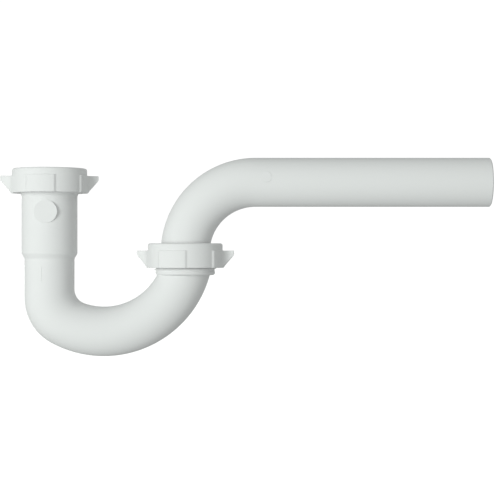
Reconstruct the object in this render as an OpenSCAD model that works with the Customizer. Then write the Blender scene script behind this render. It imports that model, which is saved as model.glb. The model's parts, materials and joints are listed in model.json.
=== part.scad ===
// Tubular P-trap for a sink drain: a J-bend that holds the water seal, a trap arm
// that runs to the wall, and a slip nut with a tapered washer at each joint.
//
// Frame: +Z up, +X along the trap arm towards the wall. The origin is on the inlet's
// vertical axis, where the socket's parallel bore meets the washer seat above it.

/* [Tube] */
// Outer diameter of the drain tube, nominal 1-1/2 inch
tube_od = 38.1; // [31.7:0.1:46]
// Wall of the trap arm
arm_wall = 1.7; // [1.4:0.1:2.4]
// How much larger the J-bend's tube is than the drain tube
bend_growth = 0.4; // [0:0.1:2]
// Wall of the J-bend's tube
bend_wall = 1.8; // [1.5:0.1:2.6]

/* [Layout] */
// Distance from the inlet's axis to the outlet joint's axis
centre_distance = 105.5; // [88:0.5:127]
// Distance from the outlet joint's axis to the trap arm's open end
arm_reach = 237; // [150:1:320]
// Radius of the trap arm's bend, to the tube's axis
arm_bend_r = 54.5; // [46:0.5:68]
// Height of the inlet's mouth above the trap arm's axis
inlet_rise = 4.7; // [0:0.1:15]

/* [J-bend] */
// Radius of the long sweep, to the tube's axis
sweep_r = 66; // [55:0.5:80]
// Angle that the sweep turns from its lowest point to the outlet neck
sweep_exit = 73.3; // [70:0.1:80]
// Radius inside the tight corner, which its fillet then fills
corner_inner = 1.2; // [1:0.1:4]
// Radius of the fillet inside the tight corner
crotch_r = 11.7; // [9:0.1:14]
// Depth of the inlet socket, from its mouth to the stop
socket_depth = 60.1; // [50:0.1:73]
// Wall of the inlet socket
socket_wall = 2.1; // [1.8:0.1:2.8]
// Height of the taper from the socket down to the leg
socket_taper = 3.9; // [2:0.1:6]
// Height of the taper from the inlet's neck down to the socket
neck_taper = 2.9; // [2:0.1:4]
// How far the outlet collar stands out from the thread's root
collar_step = 0.3; // [0.2:0.05:1]
// Thickness of the outlet collar under the spigot's socket
collar_floor = 2.8; // [2.2:0.1:3.4]

/* [Slip joint] */
// Radial clearance between a drain tube and the socket that it slides into
slip_clear = 0.35; // [0.1:0.05:0.6]
// Wall of a threaded neck at the thread's root
neck_wall = 3.4; // [3:0.1:4.2]
// Pitch of the thread, 11.5 turns to the inch
thread_pitch = 2.2087; // [1.9:0.0001:2.7]
// Height of the thread's ridge
thread_height = 1.35; // [1.1:0.05:1.7]
// Radial clearance between the threads of a neck and a nut
thread_clear = 0.3; // [0.2:0.05:0.5]
// Depth of the tapered washer seat in a neck's mouth
seat_depth = 4.2; // [3.5:0.1:5]
// Height of the washer's flat part, above the mouth
washer_flat = 2.5; // [2:0.1:3]
// Radial clearance between a washer's bore and the drain tube
washer_clear = 0.15; // [0.12:0.01:0.25]
// Height of the trap arm's flange
flange_height = 2.5; // [2:0.1:3]
// Length of trap arm below its flange
spigot_length = 12; // [10:0.5:14.5]
// Room under the spigot, which lets the nut draw it down
spigot_room = 4; // [3:0.1:5]

/* [Slip nut] */
// Height of the nut
nut_height = 19; // [15.5:0.5:23]
// Thickness of the shoulder across the nut's top
nut_shoulder = 3.2; // [2.6:0.1:3.8]
// Wall of the nut outside its thread
nut_wall = 4.55; // [3.8:0.05:6]
// Clearance between the tube and the hole in the shoulder
nut_hole_clear = 1.2; // [1:0.05:1.45]
// Height of the plain band above the grips
nut_band = 5.5; // [4.5:0.1:6.7]
// How far a grip pad stands out
pad_height = 0.9; // [0.7:0.1:2]
// Angle that a grip pad covers
pad_angle = 50; // [38:1:54]
// Number of grip pads
pad_count = 4; // [4:2:6]
// Angle from a wing back to the middle of the pad beside it
pad_lag = 13; // [12:1:22]
// Distance that a wing reaches beyond the nut's wall
wing_reach = 9; // [7:0.1:12]
// Thickness of a wing at its tip
wing_tip = 2.6; // [2:0.1:3.4]
// Height of the upright edge at a wing's tip
wing_edge = 3.5; // [2.5:0.1:5]
// Radius of the hollow flanks that spread a wing's root
wing_flank_r = 10; // [8:0.5:12]
// Angle that the inlet nut's wings stand turned from the trap's long axis
inlet_nut_turn = 6; // [-90:1:90]
// Angle that the outlet nut's wings stand turned from the trap's long axis
outlet_nut_turn = -6; // [-90:1:90]

/* [Moulding marks] */
// Radius of the blank round badge on the socket's front
badge_r = 9; // [7:0.1:11]
// Distance from the inlet's mouth down to the badge's middle
badge_drop = 27.8; // [24:0.1:34]
// Angle that the badge stands turned from the front
badge_turn = 1; // [0:1:20]
// How far the badge's face stands in front of the socket
badge_proud = 0.5; // [0.3:0.1:0.8]
// Radius of the gate marks
gate_r = 4.2; // [3:0.1:5]
// How far the J-bend's gate mark stands in front of its tube
gate_proud = 0.25; // [0.15:0.05:0.4]
// Distance from the socket's taper down to the J-bend's gate mark
gate_drop = 17.5; // [14:0.5:20]
// Angle that the J-bend's gate mark stands turned from the front
gate_turn = 4; // [0:1:30]
// Angle that the short rib above the J-bend's gate mark stands turned from the front
rib_turn = 12; // [4:1:20]
// Distance from the trap arm's bend to its gate mark
arm_gate_gap = 8.3; // [5:0.1:12]
// How far the trap arm's gate mark stands out, low enough to pass under a slip nut
arm_gate_proud = 0.2; // [0.1:0.05:0.2]
// Angle that the trap arm's gate mark stands turned from the front
arm_gate_turn = 10; // [0:1:30]

/* [Hidden] */

$fn = 96;
// Gap between faces that meet and can part
gap = 0.2;
// Depth that a ridge or a pad shares with the wall that it stands on
sink = 0.4;

// Radii that the slip joint shares
tube_r = tube_od / 2;
arm_bore_r = tube_r - arm_wall;
bend_tube_r = tube_r + bend_growth / 2;
bend_bore_r = bend_tube_r - bend_wall;
socket_bore_r = tube_r + slip_clear;
socket_r = socket_bore_r + socket_wall;
neck_r = socket_bore_r + neck_wall;
collar_r = neck_r + collar_step;
seat_r = neck_r - 0.9;
nut_bore_r = neck_r + thread_height + thread_clear;
nut_r = nut_bore_r + nut_wall;
nut_hole_r = tube_r + nut_hole_clear;
washer_r = neck_r - gap;
flange_r = neck_r - 0.5;

// Widths of a thread's ridge, which leave room on both flanks
thread_tip_w = thread_pitch * 0.226;
thread_base_w = thread_pitch * 0.43;
// Height of a nut's ridge at the angle 0, above its lower face
nut_thread_z = 1.2;
// Length of neck at each end of its thread that has no ridge
thread_margin = 0.8;
// Steps in a turn of thread, and the steps over which a ridge rises from nothing
thread_steps = 36;
runout_steps = 5;

// Heights along the inlet's axis
inlet_z = seat_depth;
arm_z = inlet_z - inlet_rise;
inlet_nut_z = inlet_z + washer_flat + gap + nut_shoulder - nut_height;
neck_end_z = inlet_nut_z + 0.6;
socket_end_z = inlet_z - socket_depth;
leg_top_z = socket_end_z - socket_taper;

// Heights along the outlet joint's axis. The trap arm's bend begins inside the nut.
bend_in_nut = 7.1;
bend_z = arm_z - arm_bend_r;
outlet_nut_z = bend_z + bend_in_nut - nut_height;
shoulder_z = outlet_nut_z + nut_height - nut_shoulder;
flange_z = shoulder_z - gap - flange_height;
outlet_z = flange_z - gap - washer_flat;
spigot_end_z = flange_z - spigot_length;
outlet_stop_z = spigot_end_z - spigot_room;
collar_top_z = outlet_nut_z - 0.3;
collar_end_z = min(outlet_stop_z - collar_floor, collar_top_z - collar_floor);

// The corner and the sweep, as arcs of two circles that meet in the XZ plane. The
// corner is a hair thicker than its neighbours, and laps over both of them.
corner_r = bend_tube_r + corner_inner;
corner_proud = 0.12;
corner_lap = 1 / corner_r * 180 / PI;
// Where the sweep meets the outlet's axis, and how far it then runs on
sweep_meet_z = collar_end_z + 3.3;
sweep_over = 4;
sweep_x = centre_distance - sweep_r * sin(sweep_exit);
sweep_z = sweep_meet_z + sweep_r * cos(sweep_exit);
corner_dx = sweep_x - corner_r;
corner_z = sweep_z - sqrt(pow(sweep_r - corner_r, 2) - corner_dx * corner_dx);
sweep_start = atan2(corner_dx, sweep_z - corner_z);

// The fillet's circle, which touches the inner walls of the leg and the sweep
crotch_x = bend_tube_r + crotch_r;
crotch_dx = sweep_x - crotch_x;
crotch_z = sweep_z - sqrt(pow(sweep_r - bend_tube_r - crotch_r, 2) - crotch_dx * crotch_dx);
crotch_end = atan2(crotch_dx, sweep_z - crotch_z);

arm_end_x = centre_distance + arm_reach;
end_bevel = 0.8;

// ---------- shared shapes ----------

// A helical ridge from a base radius to a tip radius, either way round, that begins
// at the height z at the angle start and climbs for the given turns.
module helix_ridge(base_r, tip_r, z, start, turns) {
    steps = ceil(turns * thread_steps);
    grow = sign(tip_r - base_r);
    base_cut = base_r - grow * sink;
    base_w = thread_base_w + (thread_base_w - thread_tip_w) * sink / thread_height;
    function rise(i) = min(1, (min(i, steps - i) + 0.5) / runout_steps);
    function section(i) =
        let (a = start + i * 360 / thread_steps,
             h = z + i * thread_pitch / thread_steps,
             tip = base_r + (tip_r - base_r) * rise(i),
             tip_w = thread_base_w + (thread_tip_w - thread_base_w) * rise(i))
        [for (p = [[base_cut, -base_w], [tip, -tip_w], [tip, tip_w], [base_cut, base_w]])
            [p[0] * cos(a), p[0] * sin(a), h + p[1] / 2]];
    points = [for (i = [0 : steps]) each section(i)];
    last = steps * 4;
    sides = [for (i = [0 : steps - 1], k = [0 : 3])
        let (a = 4 * i + k, b = 4 * i + (k + 1) % 4)
        each [[a, b, b + 4], [a, b + 4, a + 4]]];
    ends = [[0, 2, 1], [0, 3, 2], [last, last + 1, last + 2], [last, last + 2, last + 3]];
    faces = concat(sides, ends);
    // A ridge that grows inwards has its sections the other way round.
    polyhedron(points, grow > 0 ? faces : [for (f = faces) [f[2], f[1], f[0]]]);
}

// The outside thread of a neck, midway between the turns of the nut at nut_z.
module neck_thread(mouth_z, nut_z, nut_turn) {
    z = nut_z + thread_margin;
    turns = (mouth_z - thread_margin - z) / thread_pitch;
    start = nut_turn + (z - nut_z - nut_thread_z - thread_pitch / 2) / thread_pitch * 360;
    helix_ridge(neck_r, neck_r + thread_height, z, start, turns);
}

// An arc of round rod in the XZ plane, about a centre, that begins at the angle a
// and goes on for the angle turn. Angles are counted from +X towards +Z.
module arc_rod(x, z, bend_r, r, a, turn) {
    translate([x, 0, z])
        rotate([90, 0, 0])
            rotate([0, 0, a])
                rotate_extrude(angle = turn)
                    translate([bend_r, 0])
                        circle(r);
}

// A round mark that stands on the front of a vertical tube, turned a little to the left.
module round_mark(tube, z, turn, r, proud) {
    translate([0, 0, z])
        rotate([90, 0, -turn])
            cylinder(h = tube + proud, r = r);
}

// ---------- J-bend ----------

module inlet_outside() {
    rotate_extrude()
        polygon([
            [0, corner_z],
            [bend_tube_r, corner_z],
            [bend_tube_r, leg_top_z],
            [socket_r, socket_end_z],
            [socket_r, neck_end_z - neck_taper],
            [neck_r, neck_end_z],
            [neck_r, inlet_z],
            [0, inlet_z]]);
}

module inlet_bore() {
    rotate_extrude()
        polygon([
            [0, corner_z],
            [bend_bore_r, corner_z],
            [bend_bore_r, socket_end_z],
            [socket_bore_r, socket_end_z],
            [socket_bore_r, 0],
            [seat_r, inlet_z],
            [seat_r, inlet_z + 1],
            [0, inlet_z + 1]]);
}

module outlet_outside() {
    bevel = 2;
    translate([centre_distance, 0, 0])
        rotate_extrude()
            polygon([
                [0, collar_end_z],
                [collar_r - bevel, collar_end_z],
                [collar_r, collar_end_z + bevel],
                [collar_r, collar_top_z],
                [neck_r, collar_top_z],
                [neck_r, outlet_z],
                [0, outlet_z]]);
}

module outlet_bore() {
    translate([centre_distance, 0, 0])
        rotate_extrude()
            polygon([
                [0, outlet_stop_z],
                [socket_bore_r, outlet_stop_z],
                [socket_bore_r, outlet_z - seat_depth],
                [seat_r, outlet_z],
                [seat_r, outlet_z + 1],
                [0, outlet_z + 1]]);
}

// The corner and the long sweep, as rods of the radius r.
module bend_rods(r) {
    arc_rod(corner_r, corner_z, corner_r, r + corner_proud,
        180 - corner_lap, 90 - sweep_start + 2 * corner_lap);
    arc_rod(sweep_x, sweep_z, sweep_r, r, 270 - sweep_start, sweep_start + sweep_exit + sweep_over);
}

// Fills the inside of the corner to the fillet's radius. It stands a hair proud of
// the walls that it touches, and runs on into them at both ends.
module crotch_fillet() {
    rod_r = bend_tube_r * 0.7;
    over = 16;
    proud = 0.1;
    arc_rod(crotch_x, crotch_z, crotch_r + rod_r, rod_r + proud,
        180 - over, 90 - crotch_end + 2 * over);
}

// The blank badge on the socket, and the gate mark with its short rib on the leg.
module bend_marks() {
    gate_z = leg_top_z - gate_drop;
    rib_w = 1;
    round_mark(socket_r, inlet_z - badge_drop, badge_turn, badge_r, badge_proud);
    round_mark(bend_tube_r, gate_z, gate_turn, gate_r, gate_proud);
    rotate([0, 0, -rib_turn])
        translate([-rib_w / 2, -bend_tube_r - gate_proud, gate_z])
            cube([rib_w, bend_tube_r, gate_r + 8]);
}

module j_bend() {
    color("WhiteSmoke")
        difference() {
            union() {
                inlet_outside();
                bend_rods(bend_tube_r);
                crotch_fillet();
                outlet_outside();
                bend_marks();
                neck_thread(inlet_z, inlet_nut_z, inlet_nut_turn);
                translate([centre_distance, 0, 0])
                    neck_thread(outlet_z, outlet_nut_z, outlet_nut_turn);
            }
            inlet_bore();
            bend_rods(bend_bore_r);
            outlet_bore();
        }
}

// ---------- trap arm ----------

// The arm's spigot, bend and straight run as one rod of the radius r, which runs
// past both open ends by the length over.
module arm_rod(r, over) {
    translate([centre_distance, 0, bend_z])
        mirror([0, 0, 1])
            cylinder(h = bend_z - spigot_end_z + over, r = r);
    arc_rod(centre_distance + arm_bend_r, bend_z, arm_bend_r, r, 90, 90);
    translate([centre_distance + arm_bend_r, 0, arm_z])
        rotate([0, 90, 0])
            cylinder(h = arm_reach - arm_bend_r + over, r = r);
}

// What the bevel round the arm's open end takes away.
module arm_end_cut() {
    translate([arm_end_x - end_bevel, 0, arm_z])
        rotate([0, 90, 0])
            difference() {
                cylinder(h = 2 * end_bevel, r = tube_r + 1);
                cylinder(h = 2 * end_bevel, r1 = tube_r, r2 = tube_r - 2 * end_bevel);
            }
}

// The arm's gate mark, which follows the tube's curve.
module arm_gate_mark() {
    translate([centre_distance + arm_bend_r + arm_gate_gap, 0, arm_z])
        intersection() {
            rotate([90 - arm_gate_turn, 0, 0])
                cylinder(h = tube_od, r = gate_r);
            translate([-gate_r - 1, 0, 0])
                rotate([0, 90, 0])
                    cylinder(h = 2 * gate_r + 2, r = tube_r + arm_gate_proud);
        }
}

module trap_arm() {
    color("WhiteSmoke")
        difference() {
            union() {
                arm_rod(tube_r, 0);
                translate([centre_distance, 0, flange_z])
                    cylinder(h = flange_height, r = flange_r);
                arm_gate_mark();
            }
            arm_rod(arm_bore_r, 1);
            arm_end_cut();
        }
}

// ---------- slip nut ----------

grip_height = nut_height - nut_band;

module nut_body() {
    rotate_extrude()
        polygon([
            [nut_bore_r + 0.9, 0],
            [nut_r - 0.8, 0],
            [nut_r, 0.8],
            [nut_r, nut_height - 1.6],
            [nut_r - 0.5, nut_height - 0.5],
            [nut_r - 1.6, nut_height],
            [nut_hole_r + 0.4, nut_height],
            [nut_hole_r, nut_height - 0.4],
            [nut_hole_r, nut_height - nut_shoulder],
            [nut_bore_r, nut_height - nut_shoulder],
            [nut_bore_r, 0.9]]);
}

module grip_pad() {
    edge = 0.5;
    face_r = nut_r + pad_height;
    rotate([0, 0, -pad_angle / 2])
        rotate_extrude(angle = pad_angle)
            polygon([
                [nut_r - 2, 0],
                [face_r - edge, 0],
                [face_r, edge],
                [face_r, grip_height - edge],
                [face_r - edge, grip_height],
                [nut_r - 2, grip_height]]);
}

// One wing along +X. Hollow flanks spread its root, and its lower edge slants up
// from the nut's wall to the upright edge at the tip.
module wing() {
    root_x = nut_r - nut_wall / 2;
    tip_x = nut_r + wing_reach;
    half_w = wing_flank_r + wing_tip / 2;
    // A wing's top lies a hair below the pads' tops.
    top = grip_height - 0.15;
    intersection() {
        linear_extrude(top)
            difference() {
                translate([root_x, -half_w])
                    square([tip_x - root_x, 2 * half_w]);
                for (side = [-1, 1])
                    translate([tip_x, side * half_w])
                        circle(wing_flank_r);
            }
        translate([0, half_w, 0])
            rotate([90, 0, 0])
                linear_extrude(2 * half_w)
                    polygon([
                        [root_x, 0],
                        [nut_r + 0.3, 0],
                        [tip_x, top - wing_edge],
                        [tip_x, top],
                        [root_x, top]]);
    }
}

// A nut with its lower face at z = 0. It turns with its wings, thread and all.
module slip_nut() {
    runout = 2.2;
    turns = (nut_height - nut_shoulder - nut_thread_z - runout) / thread_pitch;
    nut_body();
    for (i = [0 : pad_count - 1])
        rotate([0, 0, i * 360 / pad_count - pad_lag])
            grip_pad();
    for (i = [0, 180])
        rotate([0, 0, i])
            wing();
    helix_ridge(nut_bore_r, neck_r + thread_clear, nut_thread_z, 0, turns);
}

module inlet_nut() {
    color("White")
        translate([0, 0, inlet_nut_z])
            rotate([0, 0, inlet_nut_turn])
                slip_nut();
}

module outlet_nut() {
    color("White")
        translate([centre_distance, 0, outlet_nut_z])
            rotate([0, 0, outlet_nut_turn])
                slip_nut();
}

// ---------- washers ----------

// A washer whose flat part stands on a mouth at z = 0 and whose taper sits in the seat.
module slip_washer() {
    bore_r = tube_r + washer_clear;
    slope = (seat_r - socket_bore_r) / seat_depth;
    taper = seat_depth - 0.8;
    rotate_extrude()
        polygon([
            [bore_r, -taper],
            [seat_r - gap - slope * taper, -taper],
            [seat_r - gap, 0],
            [washer_r, gap],
            [washer_r, washer_flat - 0.3],
            [washer_r - 0.3, washer_flat],
            [bore_r, washer_flat]]);
}

module inlet_washer() {
    color("Ivory")
        translate([0, 0, inlet_z])
            slip_washer();
}

module outlet_washer() {
    color("Ivory")
        translate([centre_distance, 0, outlet_z])
            slip_washer();
}

trap_arm();
j_bend();
inlet_nut();
outlet_nut();
inlet_washer();
outlet_washer();
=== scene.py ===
# A white plastic P-trap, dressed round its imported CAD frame. The pieces are made in the
# order in which they go together: trap arm, J-bend, washers, nuts, then the studio.
import json
from math import atan2, cos, floor, hypot, pi, radians, sin, sqrt

import bmesh
import bpy
import numpy
from mathutils import Matrix, Vector


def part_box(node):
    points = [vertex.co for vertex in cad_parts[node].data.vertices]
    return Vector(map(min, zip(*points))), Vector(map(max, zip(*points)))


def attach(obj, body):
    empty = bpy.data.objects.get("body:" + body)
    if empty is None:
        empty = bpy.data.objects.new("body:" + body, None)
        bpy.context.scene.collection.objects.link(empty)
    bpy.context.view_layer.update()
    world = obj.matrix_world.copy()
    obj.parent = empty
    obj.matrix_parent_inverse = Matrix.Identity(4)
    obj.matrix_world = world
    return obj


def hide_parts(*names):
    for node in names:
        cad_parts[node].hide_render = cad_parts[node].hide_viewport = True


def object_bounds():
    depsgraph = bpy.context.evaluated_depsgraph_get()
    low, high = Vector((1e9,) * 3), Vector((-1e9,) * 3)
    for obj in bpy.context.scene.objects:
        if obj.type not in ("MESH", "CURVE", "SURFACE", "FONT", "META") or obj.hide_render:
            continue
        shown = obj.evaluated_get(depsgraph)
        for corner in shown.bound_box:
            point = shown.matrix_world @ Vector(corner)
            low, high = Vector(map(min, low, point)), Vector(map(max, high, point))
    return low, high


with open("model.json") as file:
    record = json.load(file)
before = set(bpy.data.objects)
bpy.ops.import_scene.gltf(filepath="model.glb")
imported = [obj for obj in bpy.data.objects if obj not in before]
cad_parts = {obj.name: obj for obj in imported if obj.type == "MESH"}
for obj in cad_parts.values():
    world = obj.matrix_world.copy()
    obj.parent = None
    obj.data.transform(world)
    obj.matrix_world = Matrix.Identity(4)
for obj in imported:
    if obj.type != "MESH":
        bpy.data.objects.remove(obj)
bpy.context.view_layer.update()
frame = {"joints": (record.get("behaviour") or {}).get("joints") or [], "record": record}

# ---------- trap arm ----------
# The arm is one injection moulding of white polypropylene: a thin tube with a round
# elbow, a flange that sits on the outlet washer, and a plain end for the wall fitting.
# The round mark beside the elbow is where the plastic entered the mould.

mm = 0.001
joints = {joint["name"]: joint for joint in frame["joints"]}
mounts = {mount["name"]: mount for mount in frame["record"]["mounts"]}
outlet_x = joints["j_bend_swing"]["pos_m"][0] / mm
arm_low, arm_high = (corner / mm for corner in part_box("trap_arm"))
arm_z = mounts["wall_tube"]["pos_m"][2] / mm
tube_r = mounts["wall_tube"]["dims"]["r_mm"]
arm_wall = 1.7
arm_bore_r = tube_r - arm_wall
flange_r = outlet_x - arm_low.x
spigot_length = 12
flange_height = 2.5
flange_z = arm_low.z + spigot_length
flange_top = flange_z + flange_height
end_bevel = 0.8
inner_bevel = 0.3
elbow_r = arm_high.x - outlet_x - mounts["wall_tube"]["dims"]["length_mm"] - end_bevel
elbow_z = arm_z - elbow_r
straight = arm_high.x - outlet_x - elbow_r
arm_gate_gap = 8.3
arm_gate_x = outlet_x + elbow_r + arm_gate_gap
arm_gate_turn = radians(10)
arm_gate_proud = 0.2
gate_r = 4.2


def turned(outline, centre_x, closed=True):
    """Spins corners of (radius, height, rounding), in mm, round an upright axis.

    An outline that isn't closed leaves a ring open at each of its ends.
    """
    shape = bmesh.new()
    corners = [shape.verts.new(((centre_x + r) * mm, 0, z * mm)) for r, z, _ in outline]
    spine = []
    if not closed:
        spine = [shape.verts.new((centre_x * mm, 0, outline[end][1] * mm)) for end in (-1, 0)]
    shape.faces.new(corners + spine)
    for size in sorted({corner[2] for corner in outline} - {0}):
        bmesh.ops.bevel(
            shape, geom=[v for v, corner in zip(corners, outline) if corner[2] == size],
            offset=size * mm, offset_type="OFFSET", segments=5, profile=0.5,
            affect="VERTICES", material=-1)
    if closed:
        bmesh.ops.delete(shape, geom=shape.faces[:], context="FACES_ONLY")
    else:
        bmesh.ops.delete(shape, geom=spine, context="VERTS")
    bmesh.ops.spin(
        shape, geom=shape.verts[:] + shape.edges[:], cent=(centre_x * mm, 0, 0),
        axis=(0, 0, 1), angle=2 * pi, steps=160, use_merge=True)
    return shape


def swept(shape, ring, centre, angle, steps):
    """Carries a ring of edges round an arc in the XZ plane and returns its last ring."""
    made = bmesh.ops.spin(
        shape, geom=ring, cent=(centre[0] * mm, 0, centre[1] * mm),
        axis=(0, 1, 0), angle=angle, steps=steps, use_merge=False)
    return [item for item in made["geom_last"] if isinstance(item, bmesh.types.BMEdge)]


def drawn(shape, ring, x, radius):
    """Draws a ring on along the arm to the place x, at a new radius, in mm."""
    made = bmesh.ops.extrude_edge_only(shape, edges=ring)["geom"]
    for vert in (item for item in made if isinstance(item, bmesh.types.BMVert)):
        out = Vector((vert.co.y, vert.co.z - arm_z * mm)).normalized() * radius * mm
        vert.co = (x * mm, out.x, arm_z * mm + out.y)
    return [item for item in made if isinstance(item, bmesh.types.BMEdge)]


def solid(shape, name):
    """Closes a bmesh, turns its faces outwards and makes it an object."""
    bmesh.ops.remove_doubles(shape, verts=shape.verts[:], dist=0.0005 * mm)
    bmesh.ops.holes_fill(shape, edges=shape.edges[:], sides=0)
    bmesh.ops.recalc_face_normals(shape, faces=shape.faces[:])
    mesh = bpy.data.meshes.new(name)
    shape.to_mesh(mesh)
    shape.free()
    piece = bpy.data.objects.new(name, mesh)
    bpy.context.scene.collection.objects.link(piece)
    return piece


def combined(piece, others, operation):
    """Joins other solids to a piece, or cuts them from it, and clears them away."""
    for other in others:
        change = piece.modifiers.new("change", "BOOLEAN")
        change.operation = operation
        change.solver = "MANIFOLD"
        change.object = other
        seen = piece.evaluated_get(bpy.context.evaluated_depsgraph_get())
        mesh = bpy.data.meshes.new_from_object(seen)
        piece.modifiers.clear()
        old = piece.data
        piece.data = mesh
        mesh.name = piece.name
        bpy.data.meshes.remove(old)
        bpy.data.objects.remove(other)
    return piece


def finished(piece, crease=32):
    """Shades a moulding smoothly, with its flats flat and its creases sharp."""
    piece.data.shade_smooth()
    piece.data.set_sharp_from_angle(angle=radians(crease))
    flats = piece.modifiers.new("flats", "WEIGHTED_NORMAL")
    flats.keep_sharp = True
    return piece


def button(centre, outwards, radius, reach, edge):
    """A round button whose face stands out from a point along a direction."""
    root = reach - 5
    shape = turned([
        (radius, root, 0), (radius, reach, edge), (0.05, reach, 0), (0.05, root, 0)], 0)
    turn = Vector((0, 0, 1)).rotation_difference(Vector(outwards))
    bmesh.ops.transform(
        shape, verts=shape.verts[:],
        matrix=Matrix.Translation(Vector(centre) * mm) @ turn.to_matrix().to_4x4())
    bmesh.ops.remove_doubles(shape, verts=shape.verts[:], dist=0.2 * mm)
    return solid(shape, "button")


def linear(code):
    """A linear colour from an sRGB hex value."""
    parts = [int(code[i:i + 2], 16) / 255 for i in (1, 3, 5)]
    return tuple(((c + 0.055) / 1.055) ** 2.4 if c > 0.04045 else c / 12.92 for c in parts) + (1,)


def add(tree, kind, settings, sockets):
    """Adds a node with its settings, its values and its links."""
    made = tree.nodes.new(kind)
    for name, value in settings.items():
        setattr(made, name, value)
    for name, value in sockets.items():
        if isinstance(value, bpy.types.NodeSocket):
            tree.links.new(value, made.inputs[name])
        else:
            made.inputs[name].default_value = value
    return made


def moulded_plastic(name, pale, grey, ior, roughness, glow, peel_mm, shift):
    """A moulded plastic: two tones in slow flow marks, with orange peel and scuffs."""
    finish = bpy.data.materials.new(name)
    finish.use_nodes = True
    tree = finish.node_tree
    tree.nodes.clear()
    place = add(tree, "ShaderNodeTexCoord", {}, {})
    spot = add(tree, "ShaderNodeMapping", {}, {
        "Vector": place.outputs["Object"], "Location": (shift, shift, shift)}).outputs["Vector"]
    # Flow marks some 30 mm long, left where the melt slowed in the mould.
    flow = add(tree, "ShaderNodeTexNoise", {}, {
        "Vector": spot, "Scale": 1 / (30 * mm), "Detail": 3, "Roughness": 0.55, "Distortion": 0.8})
    tone = add(tree, "ShaderNodeValToRGB", {}, {"Fac": flow.outputs["Fac"]})
    tone.color_ramp.elements[0].position = 0.3
    tone.color_ramp.elements[0].color = linear(grey)
    tone.color_ramp.elements[1].position = 0.7
    tone.color_ramp.elements[1].color = linear(pale)
    # Specks of dust and regrind, 0.5 mm across and some 9 mm apart.
    dust = add(tree, "ShaderNodeTexVoronoi", {"feature": "F1"}, {
        "Vector": spot, "Scale": 1 / (9 * mm), "Randomness": 1})
    speck = add(tree, "ShaderNodeMapRange", {}, {
        "Value": dust.outputs["Distance"], "From Min": 0.02, "From Max": 0.035,
        "To Min": 0.35, "To Max": 0})
    dusty = add(tree, "ShaderNodeMix", {"data_type": "RGBA"}, {
        "Factor": speck.outputs["Result"], "A": tone.outputs["Color"], "B": linear("#B9B6AE")})
    # Scuffs are thin streaks, drawn 1 mm apart because real ones would be too fine.
    streaks = add(tree, "ShaderNodeMapping", {}, {
        "Vector": spot, "Rotation": (0.3, 0.5, 0.2), "Scale": (1, 1, 0.08)})
    scuffs = add(tree, "ShaderNodeTexNoise", {}, {
        "Vector": streaks.outputs["Vector"], "Scale": 1 / (1 * mm), "Detail": 2})
    worn = add(tree, "ShaderNodeMapRange", {}, {
        "Value": scuffs.outputs["Fac"], "From Min": 0.62, "From Max": 0.72, "To Min": 0, "To Max": 0.1})
    patchy = add(tree, "ShaderNodeMapRange", {}, {
        "Value": flow.outputs["Fac"], "From Min": 0.3, "From Max": 0.7,
        "To Min": roughness - 0.03, "To Max": roughness + 0.04})
    rough = add(tree, "ShaderNodeMath", {"operation": "ADD"}, {
        0: patchy.outputs["Result"], 1: worn.outputs["Result"]})
    # Orange peel from the mould's polish.
    peel = add(tree, "ShaderNodeTexNoise", {}, {
        "Vector": spot, "Scale": 1 / (peel_mm * mm), "Detail": 2, "Roughness": 0.4})
    height = add(tree, "ShaderNodeMath", {"operation": "MULTIPLY_ADD"}, {
        0: flow.outputs["Fac"], 1: 3, 2: peel.outputs["Fac"]})
    bump = add(tree, "ShaderNodeBump", {}, {
        "Height": height.outputs["Value"], "Strength": 0.35, "Distance": 0.012 * mm})
    shader = add(tree, "ShaderNodeBsdfPrincipled", {"subsurface_method": "RANDOM_WALK"}, {
        "Base Color": dusty.outputs["Result"], "Roughness": rough.outputs["Value"],
        "Normal": bump.outputs["Normal"], "IOR": ior, "Subsurface Weight": glow,
        "Subsurface Radius": (1.0, 0.95, 0.9), "Subsurface Scale": 1.2 * mm})
    add(tree, "ShaderNodeOutputMaterial", {}, {"Surface": shader.outputs["BSDF"]})
    return finish


shape = turned([
    (arm_bore_r, elbow_z, 0), (arm_bore_r, arm_low.z, 0.4), (tube_r, arm_low.z, 0.4),
    (tube_r, flange_z, 0), (flange_r, flange_z, 0.5), (flange_r, flange_top, 0.5),
    (tube_r, flange_top, 0), (tube_r, elbow_z, 0)], outlet_x)
bmesh.ops.delete(shape, geom=[f for f in shape.faces if all(
    abs(v.co.z - elbow_z * mm) < 1e-7 for v in f.verts)], context="FACES")
ends = []
for ring_r in (arm_bore_r, tube_r):
    ring = [e for e in shape.edges if e.is_boundary and all(
        abs(hypot(v.co.x - outlet_x * mm, v.co.y) - ring_r * mm) < 1e-5 for v in e.verts)]
    ring = swept(shape, ring, (outlet_x + elbow_r, elbow_z), pi / 2, 60)
    for along in (0.25, 0.5, 0.75):
        ring = drawn(shape, ring, outlet_x + elbow_r + along * straight, ring_r)
    bevel = end_bevel if ring_r == tube_r else -inner_bevel
    ring = drawn(shape, ring, arm_high.x - abs(bevel), ring_r)
    ends += drawn(shape, ring, arm_high.x, ring_r - bevel)
bmesh.ops.bridge_loops(shape, edges=ends)
trap_arm = solid(shape, "trap_arm_moulding")

gate = button(
    (arm_gate_x, 0, arm_z), (0, -cos(arm_gate_turn), sin(arm_gate_turn)),
    gate_r, tube_r + arm_gate_proud, 0.15)
combined(trap_arm, [gate], "UNION")
finished(trap_arm)

# Polypropylene from a polished steel mould: bright, faintly cool, soft in its gloss.
tube_finish = moulded_plastic(
    "moulded_polypropylene_tube", "#EDEFED", "#E4E7E5",
    ior=1.49, roughness=0.28, glow=0.25, peel_mm=0.9, shift=0)
trap_arm.data.materials.append(tube_finish)
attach(trap_arm, "arm")
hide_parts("trap_arm")

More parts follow.
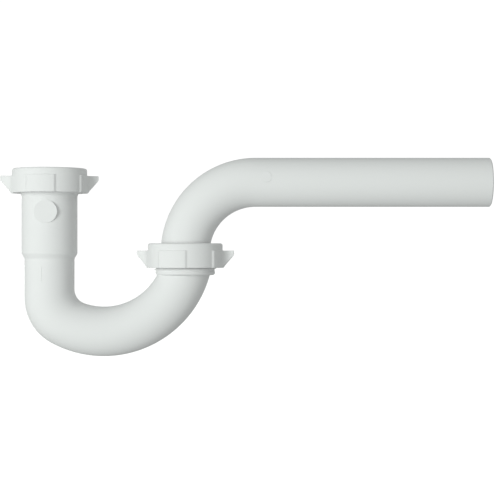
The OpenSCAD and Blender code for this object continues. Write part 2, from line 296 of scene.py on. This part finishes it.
# ---------- J-bend ----------
# The J-bend is a thicker white polypropylene moulding that holds the water seal. Its
# inlet leg widens into a deep socket with a threaded neck, and the long sweep ends in a
# collar and a second neck. A blank badge and a gate mark stand on its front.

bend_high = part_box("j_bend")[1] / mm
nut_low, nut_high = (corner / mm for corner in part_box("inlet_nut"))
socket_bore_r = mounts["tailpiece_socket"]["dims"]["r_mm"]
socket_end = -mounts["tailpiece_socket"]["dims"]["length_mm"]
mouth_z = bend_high.z
outlet_z = joints["j_bend_swing"]["pos_m"][2] / mm
outlet_drop = mouth_z - outlet_z
socket_wall = 2.1
socket_r = socket_bore_r + socket_wall
socket_taper = 3.9
neck_wall = 3.4
neck_r = socket_bore_r + neck_wall
neck_rim = 0.9
neck_taper = 2.9
seat_r = neck_r - neck_rim
collar_step = 0.3
collar_r = neck_r + collar_step
collar_core_r = 12
collar_floor = 2.8
leg_extra = 0.2
leg_r = tube_r + leg_extra
bend_wall = 1.8
leg_bore_r = leg_r - bend_wall
leg_top = socket_end - socket_taper
neck_in_nut = 0.6
neck_end = nut_low.z + neck_in_nut
collar_gap = 0.9
collar_top = neck_end - outlet_drop - collar_gap
spigot_room = 4
collar_end = arm_low.z - spigot_room - collar_floor
centre_hole = 0.05
cut_above = 3

# The long sweep is an arc that runs into the collar. The tight corner before it has a
# small radius outside and a fillet inside, whose circle touches the leg and the sweep.
sweep_r = 66
sweep_exit = radians(73.3)
sweep_over = radians(4)
exit_z = collar_end + 3.3
sweep = Vector((outlet_x - sweep_r * sin(sweep_exit), exit_z + sweep_r * cos(sweep_exit)))
corner_extra = 1.2
corner_r = leg_r + corner_extra
corner = Vector((corner_r, sweep.y - sqrt((sweep_r - corner_r) ** 2 - (sweep.x - corner_r) ** 2)))
fillet_r = 11.7
fillet_x = leg_r + fillet_r
fillet = Vector((fillet_x, sweep.y - sqrt(
    (sweep_r - leg_r - fillet_r) ** 2 - (sweep.x - fillet_x) ** 2)))
fillet_turn = pi / 2 - atan2(sweep.x - fillet.x, sweep.y - fillet.y)

# The thread has 11.5 turns to the inch. Its ridges clear each other by 0.3 mm.
pitch = 2.2087
thread_height = 1.35
thread_clear = 0.3
thread_margin = 0.8


def closed_at_centre(shape, centre_x):
    """Merges the pin-hole that a turned shape leaves on its axis."""
    near = [v for v in shape.verts if hypot(v.co.x - centre_x * mm, v.co.y) < 2 * centre_hole * mm]
    bmesh.ops.remove_doubles(shape, verts=near, dist=4 * centre_hole * mm)


def outer_wall(heading):
    """How far the corner's outer wall lies from the fillet's centre, along a heading."""
    def circle_at(centre, radius):
        across = (centre - fillet).dot(heading)
        return across + sqrt(across ** 2 - (centre - fillet).length_squared + radius ** 2)

    hit = fillet + heading * circle_at(corner, corner_r + leg_r)
    if hit.y > corner.y:
        return (fillet.x + leg_r) / -heading.x
    if (hit - sweep).cross(corner - sweep) < 0:
        return circle_at(sweep, sweep_r + leg_r)
    return circle_at(corner, corner_r + leg_r)


def bent(shape, radius):
    """Closes the shape's top, and carries its open ring through the corner and the sweep."""
    closed_at_centre(shape, 0)
    inset = leg_r - radius
    ring = [e for e in shape.edges if e.is_boundary and all(
        abs(v.co.z - fillet.y * mm) < 1e-7 for v in e.verts)]
    before = set(shape.verts)
    ring = swept(shape, ring, fillet, -fillet_turn, 44)
    for vert in set(shape.verts) - before:
        arm = Vector((vert.co.x, vert.co.z)) / mm - fillet
        heading = arm.normalized()
        near = fillet_r + inset
        far = outer_wall(heading) - inset
        reach = near + (arm.length - near) / (2 * radius) * (far - near)
        vert.co.x = (fillet.x + heading.x * reach) * mm
        vert.co.z = (fillet.y + heading.y * reach) * mm
    sweep_turn = pi / 2 - fillet_turn + sweep_exit + sweep_over
    swept(shape, ring, sweep, -sweep_turn, 64)


def thread(base_r, tip_r, start, begin_z, turns):
    """A helical ridge in mm round the inlet's axis, which fades in and out at its ends."""
    steps = 96
    fade = 14
    grow = 1 if tip_r > base_r else -1
    sunk = 0.4
    sunk_half, base_half, tip_half = 0.55, 0.475, 0.25
    sides = [(base_r - grow * sunk, sunk_half), (base_r, base_half), (tip_r, tip_half)]
    shape = bmesh.new()
    verts = [shape.verts.new((r * mm, 0, z * mm)) for r, z in
             [(r, -z) for r, z in sides] + [(r, z) for r, z in reversed(sides)]]
    shape.faces.new(verts)
    bmesh.ops.bevel(
        shape, geom=[verts[2], verts[3]], offset=0.14 * mm, offset_type="OFFSET", segments=2,
        profile=0.5, affect="VERTICES", material=-1)
    bmesh.ops.delete(shape, geom=shape.faces[:], context="FACES_ONLY")
    bmesh.ops.spin(
        shape, geom=shape.verts[:] + shape.edges[:], axis=(0, 0, 1), angle=2 * pi * turns,
        dvec=(0, 0, pitch / steps * mm), steps=round(turns * steps), use_merge=False)
    for vert in shape.verts:
        part_turn = atan2(vert.co.y, vert.co.x) / (2 * pi)
        turn = part_turn + floor(vert.co.z / (pitch * mm) - part_turn + 0.5)
        rise = min(1, (min(turn, turns - turn) * steps + 0.5) / fade)
        radius = hypot(vert.co.x, vert.co.y) / mm
        if (radius - base_r) * grow > 0:
            scale = (base_r + (radius - base_r) * max(rise, 0.04)) / radius
            vert.co.x *= scale
            vert.co.y *= scale
    bmesh.ops.rotate(shape, verts=shape.verts[:], matrix=Matrix.Rotation(start, 3, "Z"))
    bmesh.ops.translate(shape, verts=shape.verts[:], vec=(0, 0, begin_z * mm))
    return solid(shape, "thread")


# The neck's ridge runs midway between the turns of the nut's own.
nut_thread_z = 1.2
ridge_z = nut_low.z + thread_margin
ridge_turns = (mouth_z - thread_margin - ridge_z) / pitch
ridge_start = (ridge_z - nut_low.z - nut_thread_z - pitch / 2) / pitch * 2 * pi
inlet_turn = radians(6)
outlet_turn = radians(-6)

shape = turned([
    (centre_hole, mouth_z, 0), (neck_r, mouth_z, 0.35), (neck_r, neck_end, 0.6),
    (socket_r, neck_end - neck_taper, 0.8), (socket_r, socket_end, 0.7), (leg_r, leg_top, 0.8),
    (leg_r, fillet.y, 0)], 0, closed=False)
bent(shape, leg_r)
j_bend = solid(shape, "j_bend_moulding")

collar = solid(turned([
    (collar_core_r, collar_end, 0), (collar_r, collar_end, 1.9), (collar_r, collar_top, 0.15),
    (neck_r, collar_top, 0), (neck_r, outlet_z, 0.35), (collar_core_r, outlet_z, 0)],
    outlet_x), "collar")
tip_r = neck_r + thread_height
inlet_thread = thread(neck_r, tip_r, inlet_turn + ridge_start, ridge_z, ridge_turns)
outlet_thread = thread(neck_r, tip_r, outlet_turn + ridge_start, ridge_z, ridge_turns)
outlet_thread.data.transform(Matrix.Translation((outlet_x * mm, 0, -outlet_drop * mm)))

badge_r = 9
badge_proud = 0.5
badge_turn = radians(1)
badge_depth = 27.8
badge_z = mouth_z - badge_depth
gate_proud = 0.25
gate_turn = radians(4)
gate_below_socket = 17.5
gate_z = leg_top - gate_below_socket
rib_turn = radians(12)
rib_width = 1
rib_depth = 4
rib_beyond_gate = 8
rib_length = gate_r + rib_beyond_gate
badge = button(
    (0, 0, badge_z), (-sin(badge_turn), -cos(badge_turn), 0), badge_r,
    socket_r + badge_proud, 0.3)
gate = button(
    (0, 0, gate_z), (-sin(gate_turn), -cos(gate_turn), 0), gate_r,
    leg_r + gate_proud, 0.15)
rib = bmesh.new()
bmesh.ops.create_cube(rib, size=mm)
bmesh.ops.scale(rib, verts=rib.verts[:], vec=(rib_width, rib_depth, rib_length))
bmesh.ops.bevel(
    rib, geom=[e for e in rib.edges if all(v.co.y < 0 for v in e.verts)], offset=0.2 * mm,
    offset_type="OFFSET", segments=3, profile=0.5, affect="EDGES", material=-1)
rib_y = rib_depth / 2 - leg_r - gate_proud
bmesh.ops.translate(
    rib, verts=rib.verts[:], vec=(0, rib_y * mm, (gate_z + rib_length / 2) * mm))
bmesh.ops.rotate(rib, verts=rib.verts[:], matrix=Matrix.Rotation(-rib_turn, 3, "Z"))
rib = solid(rib, "rib")
combined(j_bend, [collar, inlet_thread, outlet_thread, badge, gate, rib], "UNION")

shape = turned([
    (centre_hole, mouth_z + cut_above, 0), (seat_r, mouth_z + cut_above, 0), (seat_r, mouth_z, 0.25),
    (socket_bore_r, 0, 0.4), (socket_bore_r, socket_end, 0.3), (leg_bore_r, socket_end, 0.3),
    (leg_bore_r, fillet.y, 0)], 0, closed=False)
bent(shape, leg_bore_r)
bore = solid(shape, "bore")
outlet_bore = turned([
    (centre_hole, outlet_z + cut_above, 0), (seat_r, outlet_z + cut_above, 0),
    (seat_r, outlet_z, 0.25),
    (socket_bore_r, outlet_z - mouth_z, 0.4), (socket_bore_r, collar_end + collar_floor, 0.4),
    (centre_hole, collar_end + collar_floor, 0)], outlet_x)
closed_at_centre(outlet_bore, outlet_x)
combined(j_bend, [bore, solid(outlet_bore, "outlet_bore")], "DIFFERENCE")
finished(j_bend)
j_bend.data.materials.append(tube_finish)
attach(j_bend, "bend")
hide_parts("j_bend")

# ---------- washers ----------
# A soft polyethylene washer seals each joint: its taper sits in the neck's seat and its
# flat rim lies under the nut's shoulder or the arm's flange. Both are turned by hand
# round the tube and pinched tight by the nut, so their rims are smooth.

gap = 0.2
washer_clear = 0.15
washer_bore_r = tube_r + washer_clear
washer_r = neck_r - gap
washer_flat = 2.5
foot_gap = 0.8
taper = mouth_z - foot_gap
slope = (seat_r - socket_bore_r) / mouth_z

# Natural polyethylene, which is waxier and duller than the tubes and a little yellow.
washer_finish = moulded_plastic(
    "natural_polyethylene", "#EFEBDD", "#E7E2D2",
    ior=1.51, roughness=0.45, glow=0.4, peel_mm=1.1, shift=0.71)

for washer_name, body, centre_x, z in [
        ("inlet_washer", "lift", 0, mouth_z), ("outlet_washer", "swivel", outlet_x, outlet_z)]:
    washer = solid(turned([
        (washer_bore_r, z - taper, 0.25), (seat_r - gap - slope * taper, z - taper, 0.35),
        (seat_r - gap, z, 0), (washer_r, z + gap, 0.15), (washer_r, z + washer_flat, 0.5),
        (washer_bore_r, z + washer_flat, 0.35)], centre_x), washer_name + "_ring")
    finished(washer)
    washer.data.materials.append(washer_finish)
    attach(washer, body)
    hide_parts(washer_name)

# ---------- slip nuts ----------
# The two slip nuts are white polypropylene mouldings off one mould: a band with four
# grip pads and two thumb wings below a rounded rim, a shoulder that presses the washer
# and a coarse thread inside. They are turned by hand, so every edge is softened.

nut_height = nut_high.z - nut_low.z
rim_height = 5.5
grip_top = nut_height - rim_height
shoulder = 3.2
top_round = 1.7
foot_round = 0.8
nut_bore_r = tip_r + thread_clear
nut_wall = 4.55
nut_r = nut_bore_r + nut_wall
hole_clear = 1.2
nut_hole_r = tube_r + hole_clear
thread_runout = 2.2
pad_proud = 0.9
pad_half = radians(50) / 2
pad_lag = radians(13)
pad_side = 2.4
wing_reach = 9
wing_tip_x = nut_r + wing_reach
wing_top = grip_top - 0.15
wing_edge = 3.5
wing_edge_z = wing_top - wing_edge
wing_root_x = nut_r + 0.3
flank_r = 10
flank_y = flank_r + 1.3


def softly(larger, one, other, width):
    """The larger or the smaller of two lengths in mm, rounded where they cross."""
    near = max(width - abs(one - other), 0) / width
    if larger:
        return max(one, other) + near * near * width / 4
    return min(one, other) - near * near * width / 4


def smooth_step(share):
    """Eases from 0 to 1, and stays there on either side."""
    share = min(max(share, 0), 1)
    return share * share * (3 - 2 * share)


def wing_radius(angle, z, inset=0):
    """A wing's plan outline, cut back by its slanted lower edge."""
    beside = abs((angle + pi / 2) % pi - pi / 2)
    angle = min(beside, atan2(flank_y, wing_tip_x))
    radius = (wing_tip_x - inset) / cos(angle)
    across = wing_tip_x * cos(angle) + flank_y * sin(angle)
    inside = across ** 2 - wing_tip_x ** 2 - flank_y ** 2 + (flank_r + inset) ** 2
    if inside > 0:
        radius = softly(False, radius, across - sqrt(inside), 0.7)
    slant_x = wing_root_x + (wing_tip_x - wing_root_x) * z / wing_edge_z
    # Past its root the flank sinks away under the nut's wall.
    return softly(False, radius, slant_x / cos(angle), 0.9) - (beside - angle) * nut_r / 4


def pad_rise(angle, inset=0):
    """How far a grip pad stands out at an angle from the wings."""
    beside = abs((angle + pad_lag + pi / 4) % (pi / 2) - pi / 4)
    return (pad_proud - inset) * smooth_step(((pad_half - beside) * nut_r - inset) / pad_side)


def rounding(z, top, radius):
    """How far a rounded top edge has drawn in at a height."""
    over = min(max(z - top + radius, 0), radius)
    return radius - sqrt(radius ** 2 - over ** 2)


def wall_radius(level, angle):
    """The nut's radius at a level of its outline, with its pads and wings."""
    radius, z, grips = level
    if grips == "none":
        return radius
    radius += pad_rise(angle, rounding(z, grip_top, 0.5))
    if grips == "pads" or z > wing_top:
        return radius
    return softly(True, radius, wing_radius(angle, z, rounding(z, wing_top, 0.5)), 1.2)


def quarter(centre_r, z, radius, start, count=5):
    """Levels round a quarter circle that begins at a quarter turn counted from +r."""
    return [(centre_r + radius * cos(start + i * pi / 2 / count),
             z + radius * sin(start + i * pi / 2 / count)) for i in range(count + 1)]


def levels_of_nut():
    """The nut's outline from its lower inside edge, out, up, over and down its bore."""
    side = [foot_round + 0.55 * i for i in range(1, 22)]
    side += [wing_top - 0.5 * cos(i * pi / 12) for i in range(1, 7)]
    inside = [
        (nut_hole_r, shoulder - 0.3), (nut_hole_r + 0.3, shoulder),
        (nut_bore_r - 0.4, shoulder), (nut_bore_r, shoulder + 0.4)]
    levels = [(nut_bore_r + 0.9, 0, "none")]
    levels += [(r, z, "all") for r, z in
               quarter(nut_r - foot_round, foot_round, foot_round, -pi / 2)]
    levels += [(nut_r, z, "all") for z in side]
    levels += [(nut_r, wing_top + 0.05 * i, "pads") for i in range(4)]
    levels += [(nut_r, z, "none") for z in (grip_top, grip_top + 1.1, grip_top + 2.3)]
    levels += [(r, z, "none") for r, z in
               quarter(nut_r - top_round, nut_height - top_round, top_round, 0, 8)]
    levels += [(r, z, "none") for r, z in quarter(nut_hole_r + 0.5, nut_height - 0.5, 0.5, pi / 2)]
    levels += [(r, nut_height - depth, "none") for r, depth in inside]
    levels += [(nut_bore_r, 0.9, "none"), (nut_bore_r + 0.9, 0, "none")]
    return levels


def slip_nut(turn, centre_x, lower_z, name):
    """One nut. Its rings are stacked by extrusion, then each is let out to the wall."""
    around = 560
    # The points of a ring are spaced evenly along the outline with its pads and wings.
    fine = numpy.linspace(0, 2 * pi, 7201)
    middle = (nut_r, 7, "all")
    outline = [Vector((cos(a), sin(a))) * wall_radius(middle, a) for a in fine]
    lengths = numpy.cumsum([0] + [(b - a).length for a, b in zip(outline, outline[1:])])
    angles = numpy.interp(numpy.linspace(0, lengths[-1], around + 1)[:-1], lengths, fine)
    shape = bmesh.new()
    ring = bmesh.ops.create_circle(shape, segments=around, radius=1)["verts"]
    ring = sorted(ring, key=lambda v: atan2(v.co.y, v.co.x) % (2 * pi))
    for vert, angle in zip(ring, angles):
        vert.co = (cos(angle), sin(angle), 0)
    levels = levels_of_nut()
    edges = shape.edges[:]
    for number in range(1, len(levels)):
        made = bmesh.ops.extrude_edge_only(shape, edges=edges)["geom"]
        edges = [item for item in made if isinstance(item, bmesh.types.BMEdge)
                 and all(v in made for v in item.verts)]
        for item in made:
            if isinstance(item, bmesh.types.BMVert):
                item.co.z = number
    for vert in shape.verts:
        level = levels[round(vert.co.z)]
        angle = atan2(vert.co.y, vert.co.x) % (2 * pi)
        radius = wall_radius(level, angle) * mm
        vert.co = (radius * cos(angle), radius * sin(angle), level[1] * mm)
    nut = solid(shape, name)
    turns = (nut_height - shoulder - nut_thread_z - thread_runout) / pitch
    combined(nut, [thread(nut_bore_r, neck_r + thread_clear, 0, nut_thread_z, turns)], "UNION")
    place = Matrix.Translation((centre_x * mm, 0, lower_z * mm))
    nut.data.transform(place @ Matrix.Rotation(turn, 4, "Z"))
    return finished(nut, crease=50)


# The nuts' polypropylene is a shade whiter and glossier than the tubes'.
nut_finish = moulded_plastic(
    "moulded_polypropylene_nut", "#F1F2F0", "#E9EBE9",
    ior=1.49, roughness=0.26, glow=0.25, peel_mm=0.8, shift=0.37)
outlet_nut_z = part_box("outlet_nut")[0].z / mm
for nut_name, body, turn, centre_x, z in [
        ("inlet_nut", "upper_nut", inlet_turn, 0, nut_low.z),
        ("outlet_nut", "lower_nut", outlet_turn, outlet_x, outlet_nut_z)]:
    nut = slip_nut(turn, centre_x, z, nut_name + "_moulding")
    nut.data.materials.append(nut_finish)
    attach(nut, body)
    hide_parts(nut_name)

# ---------- studio ----------
# The trap hangs clear of a plain pale floor, as it does under a sink. A narrow soft light
# stands in front and to the left, with a wide weaker one in front and one behind, and the
# room fills the rest.

low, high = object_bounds()
middle = (low + high) / 2
floor_drop = 0.25

floor_shape = bmesh.new()
bmesh.ops.create_grid(floor_shape, x_segments=2, y_segments=2, size=30)
bmesh.ops.translate(
    floor_shape, verts=floor_shape.verts[:], vec=(middle.x, middle.y, low.z - floor_drop))
floor_mesh = bpy.data.meshes.new("studio_floor")
floor_shape.to_mesh(floor_mesh)
floor_shape.free()
studio_floor = bpy.data.objects.new("studio_floor", floor_mesh)
bpy.context.scene.collection.objects.link(studio_floor)
studio_floor.visible_diffuse = False
studio_floor.visible_glossy = False
paint = bpy.data.materials.new("pale_floor")
paint.use_nodes = True
painted = paint.node_tree.nodes["Principled BSDF"]
painted.inputs["Base Color"].default_value = linear("#F4F4F2")
painted.inputs["Roughness"].default_value = 0.9
painted.inputs["Specular IOR Level"].default_value = 0
painted.inputs["Emission Color"].default_value = linear("#FFFFFF")
painted.inputs["Emission Strength"].default_value = 0.75
floor_mesh.materials.append(paint)

room = bpy.data.worlds.new("pale_room")
bpy.context.scene.world = room
room.use_nodes = True
tree = room.node_tree
tree.nodes.clear()
ray = add(tree, "ShaderNodeLightPath", {}, {})
fill = add(tree, "ShaderNodeBackground", {}, {"Color": linear("#FBFFFD"), "Strength": 0.43})
seen = add(tree, "ShaderNodeBackground", {}, {"Color": linear("#FFFFFF"), "Strength": 1.05})
mixed = add(tree, "ShaderNodeMixShader", {}, {
    0: ray.outputs["Is Camera Ray"], 1: fill.outputs["Background"], 2: seen.outputs["Background"]})
add(tree, "ShaderNodeOutputWorld", {}, {"Surface": mixed.outputs["Shader"]})


def soft_light(name, place, width, height, power, glossy=True):
    """A soft box aimed at the trap's middle, which may leave no reflection."""
    lamp = bpy.data.lights.new(name, "AREA")
    lamp.shape = "RECTANGLE"
    lamp.size = width
    lamp.size_y = height
    lamp.energy = power
    lamp.color = linear("#FAFFFC")[:3]
    box = bpy.data.objects.new(name, lamp)
    box.location = middle + Vector(place)
    box.rotation_euler = (-Vector(place)).to_track_quat("-Z", "Y").to_euler()
    box.visible_camera = False
    box.visible_glossy = glossy
    bpy.context.scene.collection.objects.link(box)


soft_light("key_light", (-1.08, -1.44, 0.03), 0.45, 1.0, 18)
soft_light("front_light", (-0.3, -1.9, 0.05), 3, 2, 8)
soft_light("back_light", (0.7, 1.8, 0.5), 1.6, 1.2, 9, glossy=False)

# The camera looks level along +Y from a little over a metre away.
distance = 1.15
framed = 0.3888
framed_x = 0.1558
framed_z = -0.0531
eye = bpy.data.cameras.new("camera")
eye.sensor_width = 36
eye.lens = eye.sensor_width * distance / framed
eye.clip_end = 100
camera = bpy.data.objects.new("camera", eye)
camera.location = (framed_x, -distance, framed_z)
camera.rotation_euler = (pi / 2, 0, 0)
bpy.context.scene.collection.objects.link(camera)
bpy.context.scene.camera = camera
bpy.context.scene.view_settings.view_transform = "Standard"
